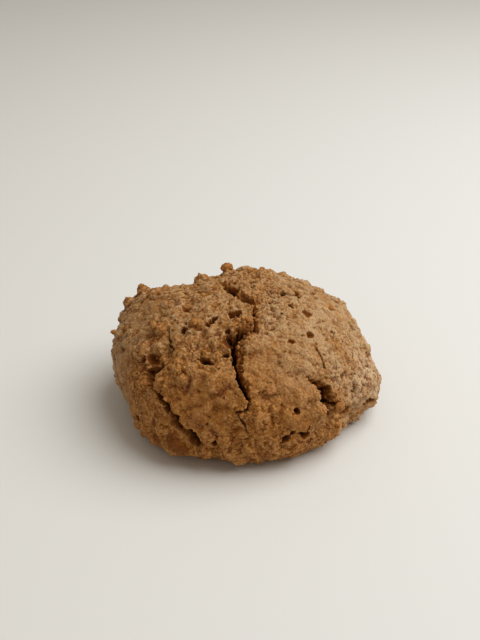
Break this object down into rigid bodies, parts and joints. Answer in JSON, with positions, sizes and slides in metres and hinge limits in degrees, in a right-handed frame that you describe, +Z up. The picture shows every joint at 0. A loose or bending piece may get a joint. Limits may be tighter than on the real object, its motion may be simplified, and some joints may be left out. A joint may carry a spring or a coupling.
{
  "type": "chocolate cookie",
  "caption": "Domed free-form drop cookie with a craggy light brown crust, open cracks and a flat underside.",
  "frame": {"origin": "middle of the outline, on the tray that the flat underside rests on", "axes": "+Z up; -Y towards the side that the picture was taken from; +X to that viewer's right"},
  "size_m": [0.0798, 0.0697, 0.0378],
  "materials": {
    "baked_crust": "dry matt baked crust, light cocoa brown, darker in the cracks and pits"
  },
  "bodies": {
    "root": {"cookie": "baked_crust"}
  },
  "joints": []
}
